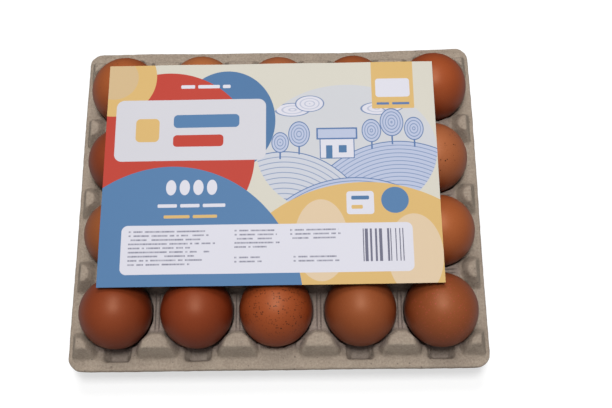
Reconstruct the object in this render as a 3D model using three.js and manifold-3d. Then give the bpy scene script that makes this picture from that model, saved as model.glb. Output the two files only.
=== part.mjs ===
// An open tray of moulded paper pulp with twenty brown eggs, four rows by five columns,
// and one printed card lying on the tops of the eggs. Millimetres, +Z up, -Y the front.
// The origin is under the middle of the tray, on the surface that its cups stand on.

import * as THREE from 'three';
import { mergeVertices } from 'three/addons/utils/BufferGeometryUtils.js';
import Module from 'manifold-3d';

const wasm = await Module();
wasm.setup();

// Driving dimensions of the tray
const columns = 5;
const rows = 4;
const columnPitch = 50.75;
const rowPitch = 49.8;
const trayWidth = 263.5;
const trayDepth = 220.5;
const cornerRadius = 9;
const cornerSides = 5;
const pulp = 2.4; // wall thickness
const flangeTop = 27;
const lipDrop = 4.5; // how far the outer edge turns down

// Cups: a flat foot, a cone that leans with its egg and comes close to it below its widest
// place, and a flare beside the posts
const footRadius = 16.5;
const mouthGap = 0.95; // between the widest part of the egg and the cone's top
const mouthHeight = 33;
const flareGap = 3.9; // the same at the flare's top
const flareTop = 47;
const cupSides = 16;

// The web between the cups, whose top makes the saddles between neighbouring eggs
const saddleTop = 32;
const saddleInsetX = 17.5; // from the tray's edge to the web's top
const saddleInsetY = 18;
const saddleRun = 5;

// Posts between the cups, and the half posts along the rim
const postTop = 45;
const postHalfWidth = 7.4;
const postFootHalfWidth = 11;
const postSides = 8;
const rimPostTop = 39;
const rimPostRadius = 8.4; // of the flat top, a half round with its straight side outwards
const rimPostSlope = 5.9; // how far the sloped sides reach beyond the flat top
const rimPostSides = 10;
const frontInset = 13; // from the tray's front edge to the half posts' flat tops
const sidePostRadius = 5.3;
const sideInset = 6.9;
const sideSlope = 4.4; // the same of the outer faces along the sides
const cornerPostRadius = 6;

// Recesses in the front and back rim, one to a cup, with a step in the middle column
const recessWidth = 17.6;
const recessInset = 5.8;
const recessFloor = 18;
const recessSideRun = 3.6; // how far its side walls slope in
const recessFrontRun = 1.4;
const recessReach = 22;
const stepWidth = 21;
const stepInset = 12.2;
const stepDrop = 1;

// Eggs, blunt end up
const eggRadius = 22.7;
const bluntHeight = 24.2;
const pointedHeight = 33;
const pointedTaper = 0.1;
const eggClearance = 0.5;
const eggSides = 16;
const eggRings = 10;
const leanHeight = 33; // height over the tip at which the leans are given
const radiusSpread = 0.35;
const scaleSpread = 0.012; // of the eggs' heights

// The front eggs, left to right: lean to +X, lean to +Y and radius
const frontEggs = [
  { leanX: 0, leanY: -0.5, radius: 22.6 },
  { leanX: 0, leanY: -0.5, radius: 22.7 },
  { leanX: -1.4, leanY: 0.4, radius: 22.9 },
  { leanX: 0.5, leanY: -0.2, radius: 22.5 },
  { leanX: 0, leanY: -0.8, radius: 23.2 },
];
// How far the eggs lean along the back, left to right, and along the sides, front to back
const backLeanY = [2, 2.3, 1.1, 1.3, 2.6];
const leftLeanX = [0, 0, -0.8, -1.2];
const rightLeanX = [0, 1.5, -0.3, 2.6];
const sideLeanY = 0.7;
const innerLean = 0.9;

// The printed card
const cardWidth = 210;
const cardDepth = 148;
const cardThickness = 0.5;
const cardX = -3.7;
const cardY = 9.3;
const cardTurn = 0.0014;
const cardGap = 0.3;
const cardLift = 1.2; // how far the front right corner curls up

const borderX = (columns * columnPitch) / 2;
const borderY = (rows * rowPitch) / 2;
const ground = -20; // how far down the mould forms reach
const ceiling = 57; // how far up the forms reach that cut them
const edgeMargin = 0.3; // between the lip's inner face and the walls below it
const fusing = 0.01; // how far stacked blocks run into each other

const materials = {
  pulp: new THREE.MeshStandardMaterial({ color: 0xa39585, roughness: 0.95, metalness: 0 }),
  shell: new THREE.MeshStandardMaterial({ color: 0xa0552c, roughness: 0.5, metalness: 0 }),
  card: new THREE.MeshStandardMaterial({ color: 0xe2d9c8, roughness: 0.6, metalness: 0 }),
};

function solidOf(geometry) {
  const bare = new THREE.BufferGeometry();
  bare.setAttribute('position', geometry.attributes.position);
  bare.setIndex(geometry.index);
  const merged = mergeVertices(bare, 1e-4);
  const corners = [];
  for (let i = 0; i < merged.index.count; i += 3) {
    const [a, b, c] = [0, 1, 2].map((step) => merged.index.getX(i + step));
    if (a !== b && b !== c && c !== a) corners.push(a, b, c);
  }
  return new wasm.Manifold(new wasm.Mesh({
    numProp: 3,
    vertProperties: new Float32Array(merged.attributes.position.array),
    triVerts: new Uint32Array(corners),
  }));
}

function geometryOf(solid) {
  const mesh = solid.getMesh();
  const geometry = new THREE.BufferGeometry();
  geometry.setAttribute('position', new THREE.BufferAttribute(mesh.vertProperties, 3));
  geometry.setIndex(new THREE.BufferAttribute(mesh.triVerts, 1));
  geometry.computeVertexNormals();
  return geometry;
}

// Moves an open outline of [radius, height] points sideways by a distance, to its right.
function offsetOutline(points, distance) {
  const normals = points.slice(1).map(([r, z], i) => {
    const [dr, dz] = [r - points[i][0], z - points[i][1]];
    const length = Math.hypot(dr, dz);
    return [dz / length, -dr / length];
  });
  return points.map(([r, z], i) => {
    const before = normals[Math.max(i - 1, 0)];
    const after = normals[Math.min(i, normals.length - 1)];
    const sum = [before[0] + after[0], before[1] + after[1]];
    const scale = (2 * distance) / (sum[0] ** 2 + sum[1] ** 2);
    return [r + sum[0] * scale, z + sum[1] * scale];
  });
}

// A solid of revolution about Z, turned to have a flat side or a corner at +X.
function turned(points, sides, flatAtX = true) {
  const outline = points.map(([r, z]) => new THREE.Vector2(Math.max(r, 0), z));
  const geometry = new THREE.LatheGeometry(outline, sides);
  geometry.rotateX(Math.PI / 2);
  if (flatAtX) geometry.rotateZ(Math.PI / sides);
  return solidOf(geometry);
}

// A block between two level rectangles, each { x: [from, to], y: [from, to], z }.
function block(low, high) {
  const geometry = new THREE.BoxGeometry(2, 2, 2);
  const position = geometry.attributes.position;
  for (let i = 0; i < position.count; i += 1) {
    const level = position.getZ(i) > 0 ? high : low;
    const x = level.x[position.getX(i) > 0 ? 1 : 0];
    const y = level.y[position.getY(i) > 0 ? 1 : 0];
    position.setXYZ(i, x, y, level.z);
  }
  return solidOf(geometry);
}

// A plate with rounded corners, drawn in from the tray's outline by inset.
function plate(inset, bottom, top) {
  const [x, y] = [trayWidth / 2 - inset, trayDepth / 2 - inset];
  const radius = cornerRadius - inset;
  const outline = new THREE.Shape();
  outline.absarc(x - radius, y - radius, radius, 0, Math.PI / 2);
  outline.absarc(radius - x, y - radius, radius, Math.PI / 2, Math.PI);
  outline.absarc(radius - x, radius - y, radius, Math.PI, Math.PI * 1.5);
  outline.absarc(x - radius, radius - y, radius, Math.PI * 1.5, Math.PI * 2);
  const geometry = new THREE.ExtrudeGeometry(outline, {
    depth: top - bottom,
    bevelEnabled: false,
    curveSegments: cornerSides,
  });
  geometry.translate(0, 0, bottom);
  return solidOf(geometry);
}

// A cup in its place, sheared to lean with its egg.
function cup(row, column, depth) {
  const { leanX, leanY, radius } = eggPlace(row, column);
  const wall = offsetOutline([
    [0, pulp],
    [footRadius, pulp],
    [radius + mouthGap, mouthHeight],
    [radius + flareGap, flareTop],
  ], depth);
  wall[0][0] = 0;
  const [x, y] = centreOf(row, column);
  const [shearX, shearY] = [leanX / leanHeight, leanY / leanHeight];
  const place = [x - shearX * pulp, y - shearY * pulp, 0, 1];
  return turned([...wall, [0, wall[3][1]]], cupSides)
    .transform([1, 0, 0, 0, 0, 1, 0, 0, shearX, shearY, 1, 0, ...place]);
}

function innerPost(depth) {
  const corner = 1 / Math.cos(Math.PI / postSides);
  const side = offsetOutline([
    [postFootHalfWidth, flangeTop],
    [postHalfWidth, postTop],
    [0, postTop],
  ], -depth);
  side[2][0] = 0;
  const outline = side.map(([r, z]) => [r * corner, z]);
  return turned([[0, ground], [outline[0][0], ground], ...outline], postSides);
}

// How far a face that slopes outwards by a run over a rise moves in at its top, and how far
// it still reaches at its foot, when it is taken at a depth.
function slopedRuns(run, rise, depth) {
  const sideways = (depth * Math.hypot(rise, run)) / rise;
  return { top: sideways - (depth * run) / rise, foot: run - sideways };
}

// The web that fills the inside of the tray up to the saddles.
function web(depth) {
  const { top, foot } = slopedRuns(saddleRun, saddleTop - flangeTop, depth);
  const x = trayWidth / 2 - saddleInsetX;
  const y = trayDepth / 2 - saddleInsetY;
  const low = { x: [-x - foot, x + foot], y: [-y - foot, y + foot], z: flangeTop };
  const high = { x: [top - x, x - top], y: [top - y, y - top], z: saddleTop - depth };
  return block({ ...low, z: ground }, { ...low, z: flangeTop + fusing }).add(block(low, high));
}

// A half post standing on the rim: a blunt cone, cut by sloped outer faces. Its flat top
// ends at edgeX and edgeY, which are distances from the middle of the tray.
function rimPost({ x, y, radius, edgeX, edgeY }, depth) {
  const rise = rimPostTop - flangeTop;
  const side = offsetOutline([
    [radius + rimPostSlope, flangeTop],
    [radius, rimPostTop],
    [0, rimPostTop],
  ], -depth);
  side[2][0] = 0;
  const cone = turned([[0, ground], [side[0][0], ground], ...side], rimPostSides);
  const [alongX, alongY] = [slopedRuns(sideSlope, rise, depth), slopedRuns(rimPostSlope, rise, depth)];
  const low = {
    x: [-edgeX - alongX.foot, edgeX + alongX.foot],
    y: [-edgeY - alongY.foot, edgeY + alongY.foot],
    z: flangeTop,
  };
  const high = {
    x: [alongX.top - edgeX, edgeX - alongX.top],
    y: [alongY.top - edgeY, edgeY - alongY.top],
    z: rimPostTop - depth,
  };
  const faces = block({ ...low, z: ground }, { ...low, z: flangeTop + fusing }).add(block(low, high));
  return cone.translate(x, y, 0).intersect(faces);
}

function rimPosts(depth) {
  const edgeX = trayWidth / 2 - sideInset;
  const edgeY = trayDepth / 2 - frontInset;
  const edges = { edgeX, edgeY };
  const posts = [];
  for (const sign of [1, -1]) {
    for (let column = 1; column < columns; column += 1) {
      const x = column * columnPitch - borderX;
      posts.push(rimPost({ x, y: sign * edgeY, radius: rimPostRadius, ...edges }, depth));
    }
    for (let row = 1; row < rows; row += 1) {
      const y = row * rowPitch - borderY;
      posts.push(rimPost({ x: sign * edgeX, y, radius: sidePostRadius, ...edges }, depth));
    }
    for (const signX of [1, -1]) {
      const corner = { x: signX * edgeX, y: sign * edgeY, radius: cornerPostRadius };
      posts.push(rimPost({ ...corner, ...edges }, depth));
    }
  }
  return posts;
}

// The recess in the rim beside a cup. The pulp's thickness is taken sideways and down.
function recess(middle, sign, depth) {
  const isStep = middle === 0;
  const half = (isStep ? stepWidth : recessWidth) / 2 + depth;
  const floor = (isStep ? flangeTop - stepDrop : recessFloor) - depth;
  const outer = trayDepth / 2 - (isStep ? stepInset : recessInset) + depth;
  const inner = trayDepth / 2 - recessReach;
  const y = sign > 0 ? [inner, outer] : [-outer, -inner];
  const sideRun = isStep ? stepDrop : recessSideRun;
  const frontRun = isStep ? stepDrop : recessFrontRun;
  const yFloor = sign > 0 ? [inner, outer - frontRun] : [frontRun - outer, -inner];
  const low = { x: [middle - half + sideRun, middle + half - sideRun], y: yFloor, z: floor };
  const high = { x: [middle - half, middle + half], y, z: flangeTop };
  return block(low, high).add(block(high, { ...high, z: flareTop }));
}

function centreOf(row, column) {
  return [(column + 0.5) * columnPitch - borderX, (row + 0.5) * rowPitch - borderY];
}

// All that lies under the tray's skin, taken at a depth below its upper face.
function mould(depth) {
  let form = plate(depth, ground, flangeTop - depth).add(web(depth));
  for (let column = 1; column < columns; column += 1) {
    for (let row = 1; row < rows; row += 1) {
      const x = column * columnPitch - borderX;
      const y = row * rowPitch - borderY;
      form = form.add(innerPost(depth).translate(x, y, 0));
    }
  }
  for (const post of rimPosts(depth)) form = form.add(post);
  for (let column = 0; column < columns; column += 1) {
    for (let row = 0; row < rows; row += 1) {
      form = form.subtract(cup(row, column, depth));
    }
    const [middle] = centreOf(0, column);
    for (const sign of [1, -1]) form = form.subtract(recess(middle, sign, depth));
  }
  return form;
}

function trayGeometry() {
  const inside = plate(pulp + edgeMargin, ground + fusing, ceiling);
  const lip = plate(0, flangeTop - lipDrop, ceiling);
  return geometryOf(mould(0).intersect(inside.add(lip)).subtract(mould(pulp)));
}

// An egg standing on its pointed tip, which is at the origin.
function eggGeometry(radius, scale) {
  const outline = [];
  for (let ring = 0; ring <= eggRings; ring += 1) {
    const angle = Math.PI * (1 - ring / eggRings);
    const up = Math.cos(angle);
    const width = radius * Math.sin(angle) * (up < 0 ? 1 + pointedTaper * up : 1);
    const height = scale * (pointedHeight + up * (up < 0 ? pointedHeight : bluntHeight));
    outline.push([ring % eggRings ? width : 0, height]);
  }
  return geometryOf(turned(outline, eggSides, false));
}

// A repeatable spread of values from -1 to 1, one for each whole number.
function spread(number) {
  const wave = Math.sin(number * 12.9898) * 43758.5453;
  return 2 * (wave - Math.floor(wave)) - 1;
}

function eggPlace(row, column) {
  const place = {
    leanX: innerLean * spread(row * columns + column + 1),
    leanY: innerLean * spread(row * columns + column + 41),
    radius: eggRadius + radiusSpread * spread(row * columns + column + 81),
  };
  if (column === 0) Object.assign(place, { leanX: leftLeanX[row], leanY: sideLeanY });
  if (column === columns - 1) Object.assign(place, { leanX: rightLeanX[row], leanY: sideLeanY });
  if (row === rows - 1) place.leanY = backLeanY[column];
  if (row === 0) Object.assign(place, frontEggs[column]);
  place.scale = 1 + scaleSpread * spread(row * columns + column + 121);
  return place;
}

// A thin card whose front right corner curls up a little.
function cardGeometry() {
  const geometry = new THREE.BoxGeometry(cardWidth, cardDepth, cardThickness, 8, 6, 1);
  const position = geometry.attributes.position;
  for (let i = 0; i < position.count; i += 1) {
    const right = Math.max(0, (2 * position.getX(i)) / cardWidth);
    const front = Math.max(0, (-2 * position.getY(i)) / cardDepth);
    const lift = cardLift * right ** 2 * front ** 2;
    position.setZ(i, position.getZ(i) + cardThickness / 2 + lift);
  }
  return geometryOf(solidOf(geometry));
}

const group = new THREE.Group();

function addMesh(name, geometry, material) {
  const mesh = new THREE.Mesh(geometry, material.clone());
  mesh.name = name;
  group.add(mesh);
  return mesh;
}

addMesh('tray', trayGeometry(), materials.pulp);

let highestEgg = 0;
for (let row = 0; row < rows; row += 1) {
  for (let column = 0; column < columns; column += 1) {
    const { leanX, leanY, radius, scale } = eggPlace(row, column);
    const [x, y] = centreOf(row, column);
    const egg = addMesh(`egg_r${row + 1}_c${column + 1}`, eggGeometry(radius, scale), materials.shell);
    egg.position.set(x, y, pulp + eggClearance);
    egg.rotation.set(-Math.asin(leanY / leanHeight), Math.asin(leanX / leanHeight), 0);
    egg.updateMatrixWorld(true);
    highestEgg = Math.max(highestEgg, new THREE.Box3().setFromObject(egg, true).max.z);
  }
}

const card = addMesh('card', cardGeometry(), materials.card);
card.position.set(cardX, cardY, highestEgg + cardGap);
card.rotation.z = cardTurn;

export default group;
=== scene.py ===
import math
import random

import bmesh
import bpy
import numpy as np
from mathutils import Matrix, Vector, noise


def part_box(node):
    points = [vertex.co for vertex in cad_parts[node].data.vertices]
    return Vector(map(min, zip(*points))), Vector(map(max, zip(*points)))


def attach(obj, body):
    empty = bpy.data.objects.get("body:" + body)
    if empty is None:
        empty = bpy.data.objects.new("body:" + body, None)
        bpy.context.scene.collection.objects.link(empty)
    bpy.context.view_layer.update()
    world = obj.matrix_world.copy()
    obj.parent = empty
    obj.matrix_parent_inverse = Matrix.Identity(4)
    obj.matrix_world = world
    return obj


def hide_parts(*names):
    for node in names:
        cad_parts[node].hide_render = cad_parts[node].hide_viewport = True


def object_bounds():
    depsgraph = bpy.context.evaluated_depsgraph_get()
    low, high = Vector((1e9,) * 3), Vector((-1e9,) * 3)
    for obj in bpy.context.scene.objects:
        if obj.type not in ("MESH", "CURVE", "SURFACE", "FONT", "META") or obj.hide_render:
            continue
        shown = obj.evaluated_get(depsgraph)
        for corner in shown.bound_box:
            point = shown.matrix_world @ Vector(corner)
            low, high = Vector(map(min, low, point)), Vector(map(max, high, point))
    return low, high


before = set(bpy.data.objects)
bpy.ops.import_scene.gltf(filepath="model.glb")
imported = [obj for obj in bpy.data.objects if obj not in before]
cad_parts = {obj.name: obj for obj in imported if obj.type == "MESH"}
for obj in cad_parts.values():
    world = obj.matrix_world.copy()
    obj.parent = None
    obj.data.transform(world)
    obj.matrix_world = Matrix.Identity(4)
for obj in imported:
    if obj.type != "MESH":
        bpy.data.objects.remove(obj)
cad_low, cad_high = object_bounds()

# The view of the photograph: the camera is held high in front of the tray, a little to its
# right, and looks steeply down on the eggs.
photo_width = 612
sensor_width = 36.0
focal_pixels = 888.7
camera_place = Vector((0.0234, -0.1879, 0.5828))
camera_turn = Matrix.Rotation(0.0295, 4, "Z") @ Matrix.Rotation(0.3229, 4, "X")
camera_roll = Matrix.Rotation(-0.0413, 4, "Z")

camera_data = bpy.data.cameras.new("camera")
camera_data.sensor_width = sensor_width
camera_data.lens = focal_pixels * sensor_width / photo_width
camera = bpy.data.objects.new("camera", camera_data)
camera.matrix_world = Matrix.Translation(camera_place) @ camera_turn @ camera_roll
bpy.context.scene.collection.objects.link(camera)
bpy.context.scene.camera = camera

# Studio light: a lamp straight over the tray for the bright patch on each egg, a weaker one
# behind it, and a white room that glows overhead, from the front and from both sides. The floor
# is a plain white table, which the tray sees only as a soft glow from beside it.
lamps = {
    "lamp_above": {"place": Vector((0.04, 0.0, 1.5)), "size": 0.34, "power": 13.0},
    "lamp_behind": {"place": Vector((0.0, 0.62, 1.3)), "size": 0.5, "power": 7.6},
}
room_level = 0.06
room_overhead = 0.3
room_sides = 0.18
room_front = 0.43
table_sides = 1.0
side_focus = 4.0
front_focus = 2.0
table_focus = 2.0
backdrop = 0.95
white = (1.0, 1.0, 1.0, 1.0)
floor_size = 6.0
floor_tone = 0.44
floor_glow = 0.58
floor_roughness = 0.7


def shader_node(tree, kind, inputs=(), **settings):
    """Adds a node, with its settings, and sets its inputs or links them to other nodes."""
    node = tree.nodes.new("ShaderNode" + kind)
    for name, value in settings.items():
        setattr(node, name, value)
    for key, value in dict(inputs).items():
        if isinstance(value, bpy.types.NodeSocket):
            tree.links.new(value, node.inputs[key])
        else:
            node.inputs[key].default_value = value
    return node


def maths(tree, operation, first, second=0.0, clamp=False):
    """One sum of two numbers or sockets."""
    node = shader_node(tree, "Math", {0: first, 1: second}, operation=operation)
    node.use_clamp = clamp
    return node.outputs[0]


def fade(tree, value, begin, end, at_begin=0.0, at_end=1.0):
    """A number that changes evenly while a value goes from begin to end, and not outside."""
    limits = {"From Min": begin, "From Max": end, "To Min": at_begin, "To Max": at_end}
    return shader_node(tree, "MapRange", {"Value": value, **limits}).outputs["Result"]


def new_material(name):
    """An empty material with a Principled BSDF: the material, its tree and the shader."""
    material = bpy.data.materials.new(name)
    material.use_nodes = True
    tree = material.node_tree
    return material, tree, tree.nodes["Principled BSDF"]


def deselect():
    """Leaves edit mode and lets go of all objects."""
    if bpy.context.object is not None and bpy.context.object.mode != "OBJECT":
        bpy.ops.object.mode_set(mode="OBJECT")
    bpy.ops.object.select_all(action="DESELECT")


for name, setting in lamps.items():
    deselect()
    bpy.ops.object.light_add(type="AREA", location=setting["place"])
    lamp = bpy.context.object
    lamp.name = name
    lamp.data.size = setting["size"]
    lamp.data.energy = setting["power"]
    lamp.rotation_euler = setting["place"].to_track_quat("Z", "Y").to_euler()

room = bpy.data.worlds.new("room")
room.use_nodes = True
room_tree = room.node_tree
direction = shader_node(room_tree, "TexCoord").outputs["Generated"]
sideways, backwards, upward = shader_node(room_tree, "SeparateXYZ", {0: direction}).outputs
forwards = maths(room_tree, "MAXIMUM", maths(room_tree, "MULTIPLY", backwards, -1.0), 0.0)
downward = maths(room_tree, "MAXIMUM", maths(room_tree, "MULTIPLY", upward, -1.0), 0.0)
from_side = maths(room_tree, "POWER", sideways, side_focus)
from_front = maths(room_tree, "POWER", forwards, front_focus)
from_table = maths(
    room_tree, "MULTIPLY", maths(room_tree, "POWER", sideways, table_focus), downward
)
light = fade(room_tree, upward, 0.0, 1.0, room_level, room_overhead)
for part, level in ((from_side, room_sides), (from_front, room_front), (from_table, table_sides)):
    light = maths(room_tree, "ADD", light, maths(room_tree, "MULTIPLY", part, level))
seen = shader_node(room_tree, "LightPath").outputs["Is Camera Ray"]
brightness = shader_node(room_tree, "Mix", {0: seen, 2: light, 3: backdrop}, data_type="FLOAT")
room_tree.nodes["Background"].inputs["Color"].default_value = white
room_tree.links.new(brightness.outputs[0], room_tree.nodes["Background"].inputs["Strength"])
bpy.context.scene.world = room
bpy.context.scene.view_settings.view_transform = "Standard"

deselect()
bpy.ops.mesh.primitive_plane_add(size=floor_size, location=(0, 0, cad_low.z))
floor = bpy.context.object
floor.name = "floor"
floor_material, _, floor_shader = new_material("white_table")
floor_shader.inputs["Base Color"].default_value = (floor_tone, floor_tone, floor_tone, 1.0)
floor_shader.inputs["Roughness"].default_value = floor_roughness
floor_shader.inputs["Emission Color"].default_value = white
floor_shader.inputs["Emission Strength"].default_value = floor_glow
floor.data.materials.append(floor_material)
floor.visible_diffuse = False
floor.visible_glossy = False

# The tray: recycled paper pulp, sucked wet onto a wire mould, pressed and dried in one piece.
# Its edges are soft, the saddles between the cups carry two press lines each, and the rim has
# dried a little warped, most of all at the back corners.


def display_colour(red, green, blue):
    """A colour as it looks on a screen, 0 to 255, as the linear light that a shader takes."""
    steps = [value / 255 for value in (red, green, blue)]
    linear = [s / 12.92 if s <= 0.04045 else ((s + 0.055) / 1.055) ** 2.4 for s in steps]
    return (*linear, 1.0)


millimetre = 0.001
column_pitch = 50.75 * millimetre
row_pitch = 49.8 * millimetre
cups_half_width = 114.25 * millimetre
cups_half_depth = 96.0 * millimetre
merge_distance = 0.001 * millimetre
press_voxel = 0.8 * millimetre
press_line_offset = 1.2 * millimetre
press_line_half_width = 0.55 * millimetre
press_line_reach = 13.5 * millimetre
press_line_fade = 4.0 * millimetre
press_line_depth = 0.6 * millimetre
press_line_low = 29.0 * millimetre
press_line_full = 30.5 * millimetre
flare_drop = 3.2 * millimetre
flare_outer = 103.2 * millimetre
flare_inner = 97.0 * millimetre
# Each pair of limits is where an effect begins and where it is full.
step_half_width = (12.0 * millimetre, 14.0 * millimetre)
rim_corner_start = (125.0 * millimetre, 122.0 * millimetre)
rim_inner_edge = (90.0 * millimetre, 93.0 * millimetre)
rim_top_level = (32.0 * millimetre, 28.0 * millimetre)
recess_level = (20.0 * millimetre, 24.0 * millimetre)
facing_up = (0.3, 0.7)
rim_warp = 0.9 * millimetre
rim_band = 16.0 * millimetre
rim_root = 20.0 * millimetre
back_corners = {
    "left": {"rise": 1.8 * millimetre, "reach": 22.0 * millimetre, "shrink": 0.0},
    "right": {"rise": 3.2 * millimetre, "reach": 45.0 * millimetre, "shrink": 1.3 * millimetre},
}
lip_line_inset = 3.1 * millimetre
lip_line_width = 0.7 * millimetre
lip_line_depth = 0.4 * millimetre
lump_height = 0.45 * millimetre
lump_size = 5.0 * millimetre
tray_triangles = 195000
pulp_pale = display_colour(170, 156, 140)
pulp_dark = display_colour(136, 122, 109)
pulp_fleck = display_colour(92, 80, 74)
pulp_fibre = display_colour(186, 174, 160)
# Painted shade: the next tint darkens the pulp and makes it bluer low down in the cups and
# recesses.
sunken_painted_shade = (0.93, 0.94, 1.0, 1.0)
# Painted shade: the next tint darkens the pulp and makes it bluer in the cups area below the
# saddle tops, between the eggs.
between_eggs_painted_shade = (0.86, 0.84, 0.9, 1.0)
# Painted shade: the next tint darkens the press lines to about half, as shade in their grooves.
press_line_painted_shade = (0.5, 0.48, 0.5, 1.0)
sunken_shade_levels = (27.0 * millimetre, 18.0 * millimetre)
between_eggs_shade_levels = (37.0 * millimetre, 33.0 * millimetre)
inside_fade = 2.5 * millimetre
blotch_share = 0.45
fleck_strength = 0.55
fibre_strength = 0.3
fibre_height = 0.25
fibre_sharpness = 70.0
speck_sharpness = 14.0


def effect(name, inputs, outputs):
    """An empty shader node group with named inputs and outputs."""
    group = bpy.data.node_groups.new(name, "ShaderNodeTree")
    for label, kind, value in inputs:
        socket = group.interface.new_socket(label, in_out="INPUT", socket_type="NodeSocket" + kind)
        socket.default_value = value
    for label, kind in outputs:
        group.interface.new_socket(label, in_out="OUTPUT", socket_type="NodeSocket" + kind)
    start = group.nodes.new("NodeGroupInput").outputs
    end = group.nodes.new("NodeGroupOutput").inputs
    return group, start, end


def place_group(tree, group, **inputs):
    """Puts a node group into a tree. Input names are given with _ for each space."""
    node = tree.nodes.new("ShaderNodeGroup")
    node.node_tree = group
    for name, value in inputs.items():
        socket = node.inputs[name.replace("_", " ")]
        if isinstance(value, bpy.types.NodeSocket):
            tree.links.new(value, socket)
        else:
            socket.default_value = value
    return node.outputs


def blend_colours(tree, mask, below, above, way="MIX"):
    """The colour below, changed towards the one above where the mask is 1."""
    sockets = {0: mask, 6: below, 7: above}
    return shader_node(tree, "Mix", sockets, data_type="RGBA", blend_type=way).outputs[2]


# Slow blotches of tone, in the pulp, the shells and the board.
mottle, start, end = effect(
    "mottle",
    [("Place", "Vector", (0, 0, 0)), ("Scale", "Float", 60.0), ("Contrast", "Float", 1.0)],
    [("Tone", "Float")],
)
blotches = shader_node(
    mottle, "TexNoise", {"Vector": start["Place"], "Scale": start["Scale"], "Detail": 4.0}
)
centred = maths(mottle, "SUBTRACT", blotches.outputs["Fac"], 0.5)
stretched = maths(mottle, "MULTIPLY", centred, start["Contrast"])
mottle.links.new(maths(mottle, "ADD", stretched, 0.5, clamp=True), end["Tone"])

# Scattered round specks: flecks in the pulp and freckles on the shells.
speckle, start, end = effect(
    "speckle",
    [
        ("Place", "Vector", (0, 0, 0)),
        ("Scale", "Float", 400.0),
        ("Size", "Float", 0.25),
        ("Share", "Float", 0.3),
    ],
    [("Mask", "Float")],
)
cells = shader_node(speckle, "TexVoronoi", {"Vector": start["Place"], "Scale": start["Scale"]})
chance = shader_node(speckle, "SeparateColor", {0: cells.outputs["Color"]})
radius = maths(speckle, "MULTIPLY", start["Size"], chance.outputs["Green"])
within = maths(speckle, "SUBTRACT", radius, cells.outputs["Distance"])
spot = maths(speckle, "MULTIPLY", within, speck_sharpness, clamp=True)
kept = maths(speckle, "LESS_THAN", chance.outputs["Red"], start["Share"])
speckle.links.new(maths(speckle, "MULTIPLY", spot, kept), end["Mask"])

# A fine uneven relief: felted pulp, pores in a shell and the tooth of the paper.
relief, start, end = effect(
    "relief",
    [
        ("Place", "Vector", (0, 0, 0)),
        ("Coarse", "Float", 300.0),
        ("Fine", "Float", 1500.0),
        ("Fine Share", "Float", 0.4),
    ],
    [("Height", "Float")],
)
coarse = shader_node(relief, "TexNoise", {"Vector": start["Place"], "Scale": start["Coarse"]})
fine = shader_node(relief, "TexNoise", {"Vector": start["Place"], "Scale": start["Fine"]})
fine_part = maths(relief, "MULTIPLY", fine.outputs["Fac"], start["Fine Share"])
relief.links.new(maths(relief, "ADD", coarse.outputs["Fac"], fine_part), end["Height"])


def merged_copy(node_name, piece_name):
    """A new piece with a merged copy of a node's mesh, selected and active."""
    piece = bpy.data.objects.new(piece_name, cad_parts[node_name].data.copy())
    bpy.context.scene.collection.objects.link(piece)
    piece.data.materials.clear()
    deselect()
    piece.select_set(True)
    bpy.context.view_layer.objects.active = piece
    bpy.ops.object.mode_set(mode="EDIT")
    bpy.ops.mesh.select_all(action="SELECT")
    bpy.ops.mesh.remove_doubles(threshold=merge_distance)
    bpy.ops.object.mode_set(mode="OBJECT")
    return piece


def apply_modifier(piece, kind, **settings):
    """Adds a modifier with its settings and applies it at once."""
    modifier = piece.modifiers.new(kind.lower(), kind)
    for name, value in settings.items():
        setattr(modifier, name, value)
    bpy.context.view_layer.objects.active = piece
    bpy.ops.object.modifier_apply(modifier=modifier.name)


def vertex_places(mesh):
    """The places of a mesh's points, as rows of three numbers."""
    places = np.zeros(len(mesh.vertices) * 3, np.float32)
    mesh.vertices.foreach_get("co", places)
    return places.reshape(-1, 3).astype(float)


def vertex_facing(mesh):
    """The directions that a mesh's points face."""
    facing = np.zeros(len(mesh.vertices) * 3, np.float32)
    mesh.vertex_normals.foreach_get("vector", facing)
    return facing.reshape(-1, 3).astype(float)


def set_vertices(mesh, places):
    """Puts a mesh's points at the places."""
    mesh.vertices.foreach_set("co", places.astype(np.float32).ravel())
    mesh.update()


def ramp(value, begin, end):
    """0 before the value comes to begin, 1 once it has come to end, and even between."""
    return np.clip((value - begin) / (end - begin), 0, 1)


def press_lines(x, y):
    """How deep each point lies, from 0 to 1, in the two lines that run along every saddle."""
    from_column = np.abs((x + column_pitch / 2) % column_pitch - column_pitch / 2)
    between_rows = np.abs((y + row_pitch / 2) % row_pitch - row_pitch / 2)
    between_columns = column_pitch / 2 - from_column
    from_row = row_pitch / 2 - between_rows
    depth = np.zeros(len(x))
    for from_midline, from_egg in ((between_columns, from_row), (between_rows, from_column)):
        line = np.exp(-(((from_midline - press_line_offset) / press_line_half_width) ** 2))
        along = np.clip((press_line_reach - from_egg) / press_line_fade, 0, 1)
        depth = np.maximum(depth, line * along)
    return depth


def cup_flare(x, y, z):
    """How far, from 0 to 1, the front and back rim dips towards the cups beside the posts."""
    dip = ramp(np.abs(y), flare_outer, flare_inner) * ramp(np.abs(y), *rim_inner_edge)
    along_rim = ramp(np.abs(x), *step_half_width) * ramp(np.abs(x), *rim_corner_start)
    at_rim_level = ramp(z, *rim_top_level) * ramp(z, *recess_level)
    return dip * along_rim * at_rim_level


def rim_wave(x, y):
    """The waves that the rim dried in: a long swell, and a shorter one across it."""
    long_swell = np.sin(x * 31 + 0.6) * np.cos(y * 23 + 1.1)
    short_swell = 0.6 * np.sin(x * 67 - y * 41)
    return long_swell + short_swell


tray = merged_copy("tray", "pulp_tray")
apply_modifier(tray, "REMESH", mode="VOXEL", voxel_size=press_voxel, use_smooth_shade=True)
apply_modifier(tray, "SMOOTH", factor=0.5, iterations=6)
lumps = bpy.data.textures.new("pulp_lumps", "CLOUDS")
lumps.noise_scale = lump_size
lumps.noise_depth = 3
apply_modifier(tray, "DISPLACE", texture=lumps, strength=lump_height, mid_level=0.5)

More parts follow.
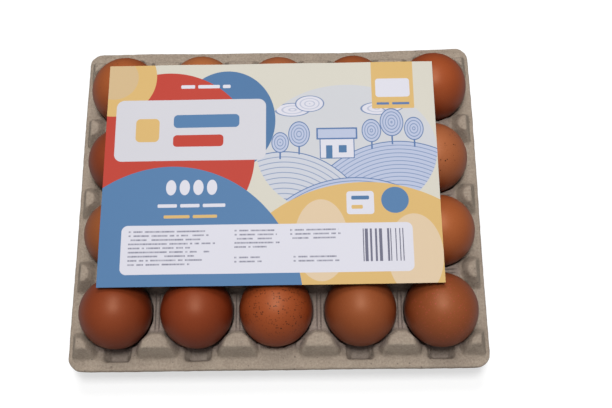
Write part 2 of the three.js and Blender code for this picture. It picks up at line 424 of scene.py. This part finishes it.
tray_low, tray_high = (np.array(corner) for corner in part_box("tray"))
places = vertex_places(tray.data)
facing = vertex_facing(tray.data)
x, y, z = places.T
from_above = ramp(facing[:, 2], *facing_up)
places[:, 2] -= press_line_depth * press_lines(x, y) * from_above * (z > press_line_low)
places[:, 2] -= flare_drop * cup_flare(x, y, z)
edge_distance = np.minimum(
    np.minimum(x - tray_low[0], tray_high[0] - x), np.minimum(y - tray_low[1], tray_high[1] - y)
)
lip_line = np.exp(-(((edge_distance - lip_line_inset) / lip_line_width) ** 2))
places[:, 2] -= lip_line_depth * lip_line * from_above
near_rim = ramp(edge_distance, rim_band, 0) * ramp(z, 0, rim_root)
places[:, 2] += rim_warp * rim_wave(x, y) * near_rim
for side, corner in back_corners.items():
    sign = 1 if side == "right" else -1
    from_corner = np.hypot(tray_high[0] - sign * x, tray_high[1] - y)
    corner_share = ramp(from_corner, corner["reach"], 0) ** 2 * near_rim
    places[:, 2] += corner["rise"] * corner_share
    places[:, 0] -= sign * corner["shrink"] * corner_share
set_vertices(tray.data, np.clip(places, tray_low, tray_high))

tray.data.calc_loop_triangles()
ratio = min(1.0, tray_triangles / len(tray.data.loop_triangles))
apply_modifier(tray, "DECIMATE", ratio=ratio, use_collapse_triangulate=True)
set_vertices(tray.data, np.clip(vertex_places(tray.data), tray_low, tray_high))
bpy.ops.object.shade_smooth()


def press_line_mask(tree, from_midline, from_egg):
    """The mask of the two lines along a saddle, from the distances to its middle and the egg."""
    beside_line = maths(tree, "SUBTRACT", from_midline, press_line_offset)
    line = fade(tree, maths(tree, "ABSOLUTE", beside_line), press_line_half_width, 0.0)
    along = fade(tree, from_egg, press_line_reach, press_line_reach - press_line_fade)
    return maths(tree, "MULTIPLY", line, along)


def mixed_tones(tree, first, second, share):
    """The share of the first tone, and the rest of the second."""
    first_part = maths(tree, "MULTIPLY", first, share)
    return maths(tree, "ADD", first_part, maths(tree, "MULTIPLY", second, 1 - share))


def pulp_material():
    """Grey-brown recycled pulp: blotches, dark flecks, pale fibres and a felted relief, with
    painted shade low down, between the eggs and in the press lines.
    """
    material, tree, shader = new_material("paper_pulp")
    place = shader_node(tree, "TexCoord").outputs["Object"]
    slow = place_group(tree, mottle, Place=place, Scale=70.0, Contrast=1.6)["Tone"]
    quick = place_group(tree, mottle, Place=place, Scale=820.0, Contrast=2.8)["Tone"]
    tone = mixed_tones(tree, slow, quick, blotch_share)
    colour = blend_colours(tree, tone, pulp_dark, pulp_pale)
    x, y, height_up = shader_node(tree, "SeparateXYZ", {0: place}).outputs
    # Painted shade: darker and bluer low down, in the cups and recesses.
    sunken = fade(tree, height_up, *sunken_shade_levels)
    colour = blend_colours(tree, sunken, colour, sunken_painted_shade, "MULTIPLY")

    from_column = maths(tree, "PINGPONG", x, column_pitch / 2)
    between_columns = maths(tree, "SUBTRACT", column_pitch / 2, from_column)
    between_rows = maths(tree, "PINGPONG", y, row_pitch / 2)
    from_row = maths(tree, "SUBTRACT", row_pitch / 2, between_rows)
    # Painted shade: darker and bluer in the cups area below the saddle tops, between the eggs.
    inside = fade(tree, height_up, *between_eggs_shade_levels)
    for across, limit in ((x, cups_half_width), (y, cups_half_depth)):
        within = fade(tree, maths(tree, "ABSOLUTE", across), limit + inside_fade, limit)
        inside = maths(tree, "MULTIPLY", inside, within)
    colour = blend_colours(tree, inside, colour, between_eggs_painted_shade, "MULTIPLY")
    # Painted shade: the two press lines along each saddle are darkened, as shade in their grooves.
    lines_across = press_line_mask(tree, between_columns, from_row)
    lines_along = press_line_mask(tree, between_rows, from_column)
    lines = maths(tree, "MAXIMUM", lines_across, lines_along)
    on_saddle = fade(tree, height_up, press_line_low, press_line_full)
    lines = maths(tree, "MULTIPLY", lines, on_saddle)
    colour = blend_colours(tree, lines, colour, press_line_painted_shade, "MULTIPLY")

    flecks = place_group(tree, speckle, Place=place, Scale=420.0, Size=0.3, Share=0.22)["Mask"]
    fleck_mask = maths(tree, "MULTIPLY", flecks, fleck_strength)
    colour = blend_colours(tree, fleck_mask, colour, pulp_fleck)
    strands = shader_node(
        tree, "TexNoise", {"Vector": place, "Scale": 330.0, "Detail": 1.0, "Distortion": 1.5}
    )
    off_strand = maths(tree, "ABSOLUTE", maths(tree, "SUBTRACT", strands.outputs["Fac"], 0.5))
    beside_strand = maths(tree, "MULTIPLY", off_strand, fibre_sharpness)
    fibres = maths(tree, "SUBTRACT", 1.0, beside_strand, clamp=True)
    fibre_mask = maths(tree, "MULTIPLY", fibres, fibre_strength)
    colour = blend_colours(tree, fibre_mask, colour, pulp_fibre)
    tree.links.new(colour, shader.inputs["Base Color"])
    felt = place_group(tree, relief, Place=place, Coarse=520.0, Fine=1500.0, Fine_Share=0.6)
    raised = maths(tree, "MULTIPLY", fibres, fibre_height)
    height = maths(tree, "SUBTRACT", maths(tree, "ADD", felt["Height"], raised), lines)
    bump = shader_node(tree, "Bump", {"Strength": 0.8, "Distance": 0.0006, "Height": height})
    tree.links.new(bump.outputs["Normal"], shader.inputs["Normal"])
    shader.inputs["Roughness"].default_value = 0.92
    shader.inputs["Specular IOR Level"].default_value = 0.2
    return material


tray.data.materials.append(pulp_material())
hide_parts("tray")
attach(tray, "root")

# The eggs: twenty brown hen's eggs, blunt end up, each standing loose in its cup. The shells are
# satin, and each hen's brown and its freckles differ.
egg_segments = 56
egg_rings = 40
egg_height = 57.2 * millimetre
egg_radius = 22.7 * millimetre
equator_height = 33.0 * millimetre
tip_taper = 0.1
same_place = 0.01 * millimetre
shell_unevenness = 0.25 * millimetre
unevenness_scale = 45
shell_tones = {
    "chestnut": display_colour(133, 61, 32),
    "mahogany": display_colour(133, 57, 28),
    "walnut": display_colour(142, 76, 42),
    "copper": display_colour(153, 75, 38),
    "rust": display_colour(155, 75, 38),
    "hazel": display_colour(152, 89, 51),
    "cinnamon": display_colour(162, 89, 48),
    "fawn": display_colour(166, 98, 61),
    "sand": display_colour(178, 110, 66),
}
tone_spread = 0.06
deep_tint = (0.8, 0.7, 0.62)
# Painted shade: the shell's colour darkens from the crown down towards the tip, for the shade low
# in the cups.
tip_painted_shade = (0.56, 0.38, 0.29, 1.0)
tip_shade_levels = (60.0 * millimetre, 37.0 * millimetre)
sheen_tint = (1.0, 0.6, 0.4, 1.0)
shell_roughness = 0.42
roughness_spread = 0.1
shell_blotch_share = 0.55
freckle_colour = display_colour(46, 18, 10)
pink_freckle = display_colour(156, 68, 52)
crown_levels = (45.0 * millimetre, 58.0 * millimetre)
freckles_below = 0.35
freckles_between = 0.3
freckle_layers = (
    {"scale": 900.0, "size": 0.5, "share": 0.6},
    {"scale": 560.0, "size": 0.37, "share": 0.4},
)


def select_points(piece, wanted):
    """Selects the points of a piece in edit mode whose places are wanted, and no others."""
    bpy.ops.object.mode_set(mode="EDIT")
    bpy.ops.mesh.select_mode(type="VERT")
    mesh = bmesh.from_edit_mesh(piece.data)
    for point in mesh.verts:
        point.select_set(wanted(point.co))
    mesh.select_flush_mode()
    bmesh.update_edit_mesh(piece.data)


def model_egg():
    """One egg with its tip at the origin and its blunt end up, from a ball."""
    deselect()
    bpy.ops.mesh.primitive_uv_sphere_add(
        segments=egg_segments, ring_count=egg_rings, radius=egg_radius, location=(0, 0, 0)
    )
    egg = bpy.context.object
    rises = [math.cos(math.pi * ring / egg_rings) for ring in range(egg_rings // 2 + 1, egg_rings)]
    for rise in rises:
        level = rise * egg_radius
        select_points(egg, lambda place: abs(place.z - level) < same_place)
        narrow = 1 + tip_taper * rise
        bpy.ops.transform.resize(value=(narrow, narrow, 1), center_override=(0, 0, level))
    for sign, half_height in ((1, egg_height - equator_height), (-1, equator_height)):
        select_points(egg, lambda place: sign * place.z > same_place)
        bpy.ops.transform.resize(value=(1, 1, half_height / egg_radius), center_override=(0, 0, 0))
    bpy.ops.mesh.select_all(action="SELECT")
    bpy.ops.transform.translate(value=(0, 0, equator_height))
    bpy.ops.object.mode_set(mode="OBJECT")
    bpy.ops.object.shade_smooth()
    return egg


def stand_egg(pattern, node_name, draw):
    """A copy of the egg on the axis and at the size of a node, and a little uneven."""
    corners = [vertex.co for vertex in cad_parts[node_name].data.vertices]
    tip = min(corners, key=lambda corner: corner.z)
    crown = max(corners, key=lambda corner: corner.z)
    axis = crown - tip
    low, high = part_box(node_name)
    radius = max(high.x - low.x, high.y - low.y) / 2
    widen = radius / egg_radius
    sized = Matrix.Diagonal((widen, widen, axis.length / egg_height, 1))
    spin = Matrix.Rotation(draw.uniform(0, math.tau), 4, "Z")
    stand = Matrix.Translation(tip) @ axis.to_track_quat("Z", "Y").to_matrix().to_4x4()
    egg = bpy.data.objects.new("shell_" + node_name[4:], pattern.data.copy())
    bpy.context.scene.collection.objects.link(egg)
    offset = Vector((draw.uniform(0, 50), draw.uniform(0, 50), draw.uniform(0, 50)))
    for vertex in egg.data.vertices:
        swell = noise.noise(vertex.co * unevenness_scale + offset) * shell_unevenness
        outwards = Vector((vertex.co.x, vertex.co.y, 0))
        if outwards.length > same_place:
            vertex.co += outwards.normalized() * swell
    egg.data.transform(stand @ spin @ sized)
    return egg


def shell_material(name, tone, freckles, freckle, draw):
    """Satin brown eggshell: slow blotches, fine pigment grain, freckles, pores, and painted shade
    towards the tip.
    """
    material, tree, shader = new_material(name)
    place = shader_node(tree, "TexCoord").outputs["Object"]
    shift = draw.uniform(1 - tone_spread, 1 + tone_spread)
    base = [channel * shift for channel in shell_tones[tone][:3]]
    deep = [channel * darker for channel, darker in zip(base, deep_tint)]
    slow = place_group(tree, mottle, Place=place, Scale=48.0, Contrast=1.5)["Tone"]
    grain = place_group(tree, mottle, Place=place, Scale=1300.0, Contrast=2.0)["Tone"]
    pigment = mixed_tones(tree, slow, grain, shell_blotch_share)
    colour = blend_colours(tree, pigment, (*deep, 1.0), (*base, 1.0))
    height_up = shader_node(tree, "SeparateXYZ", {0: place}).outputs["Z"]
    # Painted shade: the shell darkens from the crown down towards the tip.
    tip_shade = fade(tree, height_up, *tip_shade_levels)
    colour = blend_colours(tree, tip_shade, colour, tip_painted_shade, "MULTIPLY")
    if freckles > 0:
        crown = fade(tree, height_up, *crown_levels, freckles_below, 1.0)
        patches = place_group(tree, mottle, Place=place, Scale=110.0, Contrast=3.5)["Tone"]
        spread = maths(tree, "ADD", patches, freckles_between)
        where = maths(tree, "MULTIPLY", spread, crown, clamp=True)
        for layer in freckle_layers:
            spots = place_group(
                tree, speckle, Place=place, Scale=layer["scale"], Size=layer["size"],
                Share=layer["share"] * freckles,
            )["Mask"]
            colour = blend_colours(tree, maths(tree, "MULTIPLY", spots, where), colour, freckle)
    tree.links.new(colour, shader.inputs["Base Color"])
    pores = place_group(tree, relief, Place=place, Coarse=900.0, Fine=3200.0, Fine_Share=0.5)
    bump = shader_node(
        tree, "Bump", {"Strength": 0.2, "Distance": 0.00015, "Height": pores["Height"]}
    )
    tree.links.new(bump.outputs["Normal"], shader.inputs["Normal"])
    uneven = maths(tree, "MULTIPLY", slow, roughness_spread)
    roughness = maths(tree, "ADD", uneven, shell_roughness)
    tree.links.new(roughness, shader.inputs["Roughness"])
    shader.inputs["Specular IOR Level"].default_value = 0.48
    shader.inputs["Specular Tint"].default_value = sheen_tint
    return material


shell_looks = {
    (1, 1): ("chestnut", 0.0),
    (1, 2): ("mahogany", 0.0),
    (1, 3): ("copper", 1.0),
    (1, 4): ("walnut", 0.0),
    (1, 5): ("walnut", 0.7),
    (2, 5): ("cinnamon", 0.0),
    (3, 5): ("fawn", 0.15),
    (4, 5): ("rust", 0.0),
    (2, 1): ("hazel", 0.0),
    (3, 1): ("chestnut", 0.0),
    (4, 1): ("cinnamon", 0.15),
    (4, 2): ("sand", 0.0),
    (4, 3): ("fawn", 0.0),
    (4, 4): ("cinnamon", 0.0),
}
egg_pattern = model_egg()
for row in range(1, 5):
    for column in range(1, 6):
        draw = random.Random(100 * row + column)
        node_name = f"egg_r{row}_c{column}"
        tone, freckles = shell_looks.get((row, column), (draw.choice(sorted(shell_tones)), 0.0))
        freckle = pink_freckle if (row, column) == (1, 5) else freckle_colour
        egg = stand_egg(egg_pattern, node_name, draw)
        egg.data.materials.append(
            shell_material(f"eggshell_r{row}_c{column}", tone, freckles, freckle, draw)
        )
        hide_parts(node_name)
        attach(egg, "root")
bpy.data.objects.remove(egg_pattern)

# The card: a printed sheet of thin white board laid loose on the eggs. It was cut square, and
# one front corner has curled up a little.
card_low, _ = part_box("card")
card_centre = Vector((-3.7, 9.3, 0)) * millimetre
card_turn = 0.0014
card_size = Vector((210.0, 148.0, 0)) * millimetre
card_thickness = 0.45 * millimetre
card_wave = 0.35 * millimetre
corner_lift = 1.15 * millimetre
crease_angle = math.radians(40)

deselect()
bpy.ops.mesh.primitive_grid_add(x_subdivisions=84, y_subdivisions=60, size=1)
card = bpy.context.object
card.name = "printed_card"
for vertex in card.data.vertices:
    right = max(0.0, vertex.co.x * 2)
    front = max(0.0, -vertex.co.y * 2)
    curl = corner_lift * right**2 * front**2
    ripple = math.sin(vertex.co.x * 19 + 0.8) * math.cos(vertex.co.y * 13)
    sway = card_wave * (0.5 + 0.5 * ripple)
    height = card_low.z + card_thickness + max(curl, sway * (1 - right * front))
    vertex.co = (vertex.co.x * card_size.x, vertex.co.y * card_size.y, height)
card.data.transform(Matrix.Translation(card_centre) @ Matrix.Rotation(card_turn, 4, "Z"))
apply_modifier(
    card, "SOLIDIFY", thickness=card_thickness, offset=-1.0, material_offset=1,
    material_offset_rim=1,
)
bpy.ops.object.shade_smooth_by_angle(angle=crease_angle)

# The print on the card: flat fields of colour, panels, plain bars and fine rules, and a landscape
# of hills, round trees and a barn in blue line. Its places are in millimetres from the card's
# middle.
cream = display_colour(198, 194, 182)
gold = display_colour(202, 168, 107)
tan = display_colour(195, 169, 129)
peach = display_colour(206, 184, 154)
red = display_colour(177, 62, 50)
sky_blue = display_colour(75, 111, 151)
field_blue = display_colour(80, 117, 157)
panel_white = display_colour(196, 195, 201)
paper_white = display_colour(204, 203, 212)
line_blue = display_colour(84, 112, 156)
lavender = display_colour(172, 180, 202)
pale_lavender = display_colour(188, 191, 200)
rule_grey = display_colour(104, 104, 122)
paper_shadow = (0.5, 0.5, 0.52, 1.0)
paper_shadow_depth = 0.12
board_dark = display_colour(214, 208, 196)
board_pale = display_colour(232, 228, 220)
ink_edge = 5.0
rule_weight = 0.85
dash_length = 1.4
dash_gaps = 0.18
tick_width = 0.5
faintest_tick = 0.5
shortest_rule = 0.65
stripe_width = 0.62
stripe_share = 0.5


def soft_step(tree, distance):
    """1 inside a shape and 0 outside, from the distance inside its edge in millimetres."""
    node = shader_node(tree, "Math", {0: distance, 1: ink_edge, 2: 0.5}, operation="MULTIPLY_ADD")
    node.use_clamp = True
    return node.outputs[0]


# An oval: its inside, its outline, and rings at even distances inside it.
oval_shape, start, end = effect(
    "oval_shape",
    [
        ("Place", "Vector", (0, 0, 0)),
        ("Centre", "Vector", (0, 0, 0)),
        ("Half Width", "Float", 10.0),
        ("Half Height", "Float", 10.0),
        ("Line", "Float", 0.6),
        ("Spacing", "Float", 5.0),
    ],
    [("Inside", "Float"), ("Outline", "Float"), ("Furrows", "Float")],
)
halves = shader_node(
    oval_shape, "CombineXYZ", {0: start["Half Width"], 1: start["Half Height"], 2: 1.0}
)
offset = shader_node(
    oval_shape, "VectorMath", {0: start["Place"], 1: start["Centre"]}, operation="SUBTRACT"
)
share = shader_node(
    oval_shape, "VectorMath", {0: offset.outputs[0], 1: halves.outputs[0]}, operation="DIVIDE"
)
reach = shader_node(oval_shape, "VectorMath", {0: share.outputs[0]}, operation="LENGTH")
narrower = maths(oval_shape, "MINIMUM", start["Half Width"], start["Half Height"])
inward = maths(oval_shape, "SUBTRACT", 1.0, reach.outputs["Value"])
distance = maths(oval_shape, "MULTIPLY", inward, narrower)
half_line = maths(oval_shape, "MULTIPLY", start["Line"], 0.5)
from_edge = maths(oval_shape, "SUBTRACT", half_line, maths(oval_shape, "ABSOLUTE", distance))
half_spacing = maths(oval_shape, "MULTIPLY", start["Spacing"], 0.5)
swing = maths(oval_shape, "PINGPONG", distance, half_spacing)
from_furrow = maths(oval_shape, "SUBTRACT", half_line, swing)
inside = soft_step(oval_shape, distance)
oval_shape.links.new(inside, end["Inside"])
oval_shape.links.new(soft_step(oval_shape, from_edge), end["Outline"])
furrow_lines = maths(oval_shape, "MULTIPLY", soft_step(oval_shape, from_furrow), inside)
oval_shape.links.new(furrow_lines, end["Furrows"])

# A panel with rounded corners.
panel_shape, start, end = effect(
    "panel_shape",
    [
        ("Place", "Vector", (0, 0, 0)),
        ("Centre", "Vector", (0, 0, 0)),
        ("Half Width", "Float", 10.0),
        ("Half Height", "Float", 10.0),
        ("Corner", "Float", 1.0),
    ],
    [("Inside", "Float")],
)
offset = shader_node(
    panel_shape, "VectorMath", {0: start["Place"], 1: start["Centre"]}, operation="SUBTRACT"
)
folded = shader_node(panel_shape, "VectorMath", {0: offset.outputs[0]}, operation="ABSOLUTE")
straight = shader_node(
    panel_shape,
    "CombineXYZ",
    {
        0: maths(panel_shape, "SUBTRACT", start["Half Width"], start["Corner"]),
        1: maths(panel_shape, "SUBTRACT", start["Half Height"], start["Corner"]),
        2: 0.0,
    },
)
beyond = shader_node(
    panel_shape, "VectorMath", {0: folded.outputs[0], 1: straight.outputs[0]}, operation="SUBTRACT"
)
outer = shader_node(
    panel_shape, "VectorMath", {0: beyond.outputs[0], 1: (0, 0, 0)}, operation="MAXIMUM"
)
reach = shader_node(panel_shape, "VectorMath", {0: outer.outputs[0]}, operation="LENGTH")
distance = maths(panel_shape, "SUBTRACT", start["Corner"], reach.outputs["Value"])
panel_shape.links.new(soft_step(panel_shape, distance), end["Inside"])

# Rows of fine rules, broken into dashes and ragged at their right end.
rule_rows, start, end = effect(
    "rule_rows",
    [
        ("Place", "Vector", (0, 0, 0)),
        ("Corner", "Vector", (0, 0, 0)),
        ("Width", "Float", 30.0),
        ("Lines", "Float", 5.0),
        ("Pitch", "Float", 2.7),
        ("Weight", "Float", 0.4),
    ],
    [("Mask", "Float")],
)


def drawn_value(tree, across, down, seed):
    """A number between 0 and 1, drawn for each pair of whole numbers."""
    key = shader_node(tree, "CombineXYZ", {0: across, 1: down, 2: seed})
    draw = shader_node(tree, "TexWhiteNoise", {"Vector": key.outputs[0]}, noise_dimensions="3D")
    return draw.outputs["Value"]


offset = shader_node(
    rule_rows, "VectorMath", {0: start["Place"], 1: start["Corner"]}, operation="SUBTRACT"
)
across, up, _ = shader_node(rule_rows, "SeparateXYZ", {0: offset.outputs[0]}).outputs
rows_down = maths(rule_rows, "DIVIDE", maths(rule_rows, "MULTIPLY", up, -1.0), start["Pitch"])
row_number = maths(rule_rows, "FLOOR", rows_down)
row_draw = drawn_value(rule_rows, row_number, 0.0, 1.0)
row_length = fade(rule_rows, row_draw, 0.0, 1.0, shortest_rule, 1.0)
row_end = maths(rule_rows, "MULTIPLY", start["Width"], row_length)
dash_number = maths(rule_rows, "FLOOR", maths(rule_rows, "DIVIDE", across, dash_length))
dash_draw = drawn_value(rule_rows, dash_number, row_number, 3.0)
tick_number = maths(rule_rows, "FLOOR", maths(rule_rows, "DIVIDE", across, tick_width))
tick_draw = drawn_value(rule_rows, tick_number, row_number, 5.0)
mask = fade(rule_rows, tick_draw, 0.0, 1.0, faintest_tick, 1.0)
for test, first, second in (
    ("GREATER_THAN", dash_draw, dash_gaps),
    ("LESS_THAN", maths(rule_rows, "FRACT", rows_down), start["Weight"]),
    ("GREATER_THAN", rows_down, 0.0),
    ("LESS_THAN", rows_down, start["Lines"]),
    ("GREATER_THAN", across, 0.0),
    ("LESS_THAN", across, row_end),
):
    mask = maths(rule_rows, "MULTIPLY", mask, maths(rule_rows, test, first, second))
rule_rows.links.new(mask, end["Mask"])

print_material, print_tree, print_shader = new_material("printed_board")
object_place = shader_node(print_tree, "TexCoord").outputs["Object"]
card_mapping = shader_node(
    print_tree,
    "Mapping",
    {
        "Vector": object_place,
        "Location": card_centre,
        "Rotation": (0, 0, card_turn),
        "Scale": (millimetre, millimetre, 1.0),
    },
    vector_type="TEXTURE",
)
card_place = shader_node(
    print_tree,
    "VectorMath",
    {0: card_mapping.outputs[0], 1: (1.0, 1.0, 0.0)},
    operation="MULTIPLY",
).outputs[0]


def ink(below, colour, mask, window=None, weight=1.0):
    """Prints a colour over what is below, in the mask and, if given, in the window."""
    if window is not None:
        mask = maths(print_tree, "MULTIPLY", mask, window)
    if weight != 1.0:
        mask = maths(print_tree, "MULTIPLY", mask, weight)
    return blend_colours(print_tree, mask, below, colour)


def oval(centre, half_width, half_height, line=0.6, spacing=5.0):
    """The masks of an oval: its inside, its outline and rings inside it."""
    return place_group(
        print_tree, oval_shape, Place=card_place, Centre=(*centre, 0), Half_Width=half_width,
        Half_Height=half_height, Line=line, Spacing=spacing,
    )


def panel(left, right, bottom, top, corner=0.6):
    """The mask of a panel with rounded corners, between four lines."""
    centre = ((left + right) / 2, (bottom + top) / 2, 0)
    return place_group(
        print_tree, panel_shape, Place=card_place, Centre=centre,
        Half_Width=(right - left) / 2, Half_Height=(top - bottom) / 2, Corner=corner,
    )["Inside"]


def bars(face, colour, bottom, top, *spans):
    """Plain bars between two heights, each from left to right."""
    for left, right in spans:
        face = ink(face, colour, panel(left, right, bottom, top, (top - bottom) * 0.3))
    return face


def fine_rules(face, left, top, width, lines, pitch=2.6):
    """A block of fine broken rules."""
    rows = place_group(
        print_tree, rule_rows, Place=card_place, Corner=(left, top, 0), Width=width, Lines=lines,
        Pitch=pitch,
    )["Mask"]
    return ink(face, rule_grey, rows, weight=rule_weight)


def round_tree(face, window, middle, foot, crown):
    """A tree with a straight trunk and a round crown with rings."""
    trunk = panel(middle - 0.5, middle + 0.5, foot - 1, foot + crown, 0.3)
    face = ink(face, line_blue, trunk, window)
    leaves = oval((middle, foot + crown * 1.3), crown * 0.66, crown * 0.85, 0.5, 1.7)
    face = ink(face, lavender, leaves["Inside"], window)
    face = ink(face, line_blue, leaves["Furrows"], window, 0.7)
    return ink(face, line_blue, leaves["Outline"], window)


def landscape(face):
    """The picture: hills with furrows, round trees, a barn and clouds, in blue line."""
    window = oval((48, 13), 57, 45)["Inside"]
    face = ink(face, pale_lavender, window, weight=0.75)
    for centre, half_width, half_height in (
        ((14, 41), 11, 4.5), ((25, 45), 9, 5.5), ((68, 41), 10, 4.2), ((78, 43.5), 7.5, 4.6),
    ):
        cloud = oval(centre, half_width, half_height, 0.5, 1.8)
        face = ink(face, paper_white, cloud["Inside"], window)
        face = ink(face, line_blue, cloud["Furrows"], window, 0.35)
        face = ink(face, line_blue, cloud["Outline"], window, 0.8)
    for centre, half_width, half_height, fill, spacing in (
        ((80, -62), 70, 80, lavender, 2.3),
        ((8, -60), 60, 72, pale_lavender, 2.9),
    ):
        hill = oval(centre, half_width, half_height, 0.5, spacing)
        face = ink(face, fill, hill["Inside"], window)
        face = ink(face, line_blue, hill["Furrows"], window, 0.65)
        face = ink(face, line_blue, hill["Outline"], window)
    for middle, foot, crown in ((6, 8, 8), (18, 11, 10), (64, 14, 9), (77, 17, 11), (91, 15, 9)):
        face = round_tree(face, window, middle, foot, crown)
    for left, right, bottom, top, fill in (
        (31, 53, 7, 22, line_blue),
        (31.6, 52.4, 7.6, 21.4, paper_white),
        (29, 55, 20, 28, line_blue),
        (30, 54, 21, 27, lavender),
        (35, 39, 7, 16, sky_blue),
        (43, 48, 11, 16, sky_blue),
    ):
        face = ink(face, fill, panel(left, right, bottom, top, 0.4), window)
    field = oval((52, -94), 78, 88, 0.5, 1.9)
    face = ink(face, lavender, field["Inside"], window)
    face = ink(face, line_blue, field["Furrows"], window, 0.75)
    return ink(face, line_blue, field["Outline"], window)


def colour_fields(face):
    """The large fields: a gold sun, red and blue hills behind a pale panel, and nearer hills."""
    face = ink(face, gold, oval((58, -104), 96, 95)["Inside"])
    face = ink(face, peach, oval((31, -46), 16.5, 26)["Inside"])
    face = ink(face, peach, oval((88, -56), 17, 26)["Inside"])
    face = ink(face, sky_blue, oval((-28, 34), 31, 35)["Inside"])
    face = ink(face, red, oval((-66, 10), 56, 58)["Inside"])
    face = ink(face, gold, oval((-101, 65), 27, 27)["Inside"])
    face = ink(face, tan, oval((-101, 65), 15, 15)["Inside"])
    face = ink(face, panel_white, panel(-99, -3, 7, 49, 5.0))
    return ink(face, field_blue, oval((-62, -88), 82, 91)["Inside"])


def plain_marks(face):
    """The plain marks: bars, a tile, a row of ovals, and a panel of fine rules with stripes."""
    face = bars(face, paper_white, 57, 59.4, (-58, -49), (-47, -33), (-31, -26))
    face = ink(face, gold, panel(-86, -71, 20, 36, 3.0))
    face = bars(face, field_blue, 29.5, 38.5, (-62, -20))
    face = bars(face, red, 16.5, 24.5, (-62, -30))
    for middle in (-62, -53.5, -45, -36.5):
        face = ink(face, paper_white, oval((middle, -11), 3.2, 5)["Inside"])
    face = bars(face, paper_white, -24, -21.8, (-70, -58), (-56, -44), (-42, -28))
    face = bars(face, gold, -31, -29, (-66, -50), (-48, -33))
    face = ink(face, paper_white, panel(-91.5, 87, -66.5, -35.5, 4.0))
    face = fine_rules(face, -87, -39, 54, 9)
    face = fine_rules(face, -22, -39, 28, 5)
    face = fine_rules(face, -22, -56, 18, 2)
    face = fine_rules(face, 12, -39, 34, 3)
    face = fine_rules(face, 14, -56, 30, 2)
    across = shader_node(print_tree, "SeparateXYZ", {0: card_place}).outputs["X"]
    stripe_number = maths(print_tree, "FLOOR", maths(print_tree, "DIVIDE", across, stripe_width))
    stripe_draw = drawn_value(print_tree, stripe_number, 0.0, 9.0)
    stripes = maths(print_tree, "GREATER_THAN", stripe_draw, stripe_share)
    return ink(face, rule_grey, panel(54.7, 83.1, -60, -39.3, 0.2), stripes)


def corner_marks(face):
    """The gold ribbon with a bare label at the top right, and two plain marks below it."""
    face = ink(face, gold, panel(65, 92, 41, 90, 0.5))
    face = ink(face, paper_white, panel(67.5, 89.5, 49, 62, 2.0))
    face = bars(face, line_blue, 43.6, 45.2, (68, 76), (78, 89))
    face = ink(face, paper_white, panel(47, 64, -30, -15, 2.0))
    face = bars(face, sky_blue, -20.5, -18, (50, 61))
    face = bars(face, gold, -26.5, -24, (50, 57))
    return ink(face, field_blue, oval((77, -21), 8.5, 8.5)["Inside"])


face_colour = shader_node(print_tree, "RGB").outputs[0]
face_colour.default_value = cream
face_colour = landscape(face_colour)
face_colour = colour_fields(face_colour)
face_colour = plain_marks(face_colour)
face_colour = corner_marks(face_colour)
paper_tone = place_group(print_tree, mottle, Place=object_place, Scale=25.0, Contrast=0.5)["Tone"]
shadow_mask = maths(print_tree, "MULTIPLY", paper_tone, paper_shadow_depth)
face_colour = blend_colours(print_tree, shadow_mask, face_colour, paper_shadow, "MULTIPLY")
print_tree.links.new(face_colour, print_shader.inputs["Base Color"])
print_shader.inputs["Roughness"].default_value = 0.55
print_shader.inputs["Specular IOR Level"].default_value = 0.12
tooth = place_group(
    print_tree, relief, Place=object_place, Coarse=140.0, Fine=2600.0, Fine_Share=0.2
)
tooth_bump = shader_node(
    print_tree, "Bump", {"Strength": 0.12, "Distance": 0.0002, "Height": tooth["Height"]}
)
print_tree.links.new(tooth_bump.outputs["Normal"], print_shader.inputs["Normal"])

board_material, board_tree, board_shader = new_material("bare_board")
board_place = shader_node(board_tree, "TexCoord").outputs["Object"]
board_tone = place_group(board_tree, mottle, Place=board_place, Scale=400.0, Contrast=1.0)["Tone"]
board_colour = blend_colours(board_tree, board_tone, board_dark, board_pale)
board_tree.links.new(board_colour, board_shader.inputs["Base Color"])
board_shader.inputs["Roughness"].default_value = 0.85

card.data.materials.append(print_material)
card.data.materials.append(board_material)
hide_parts("card")
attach(card, "root")
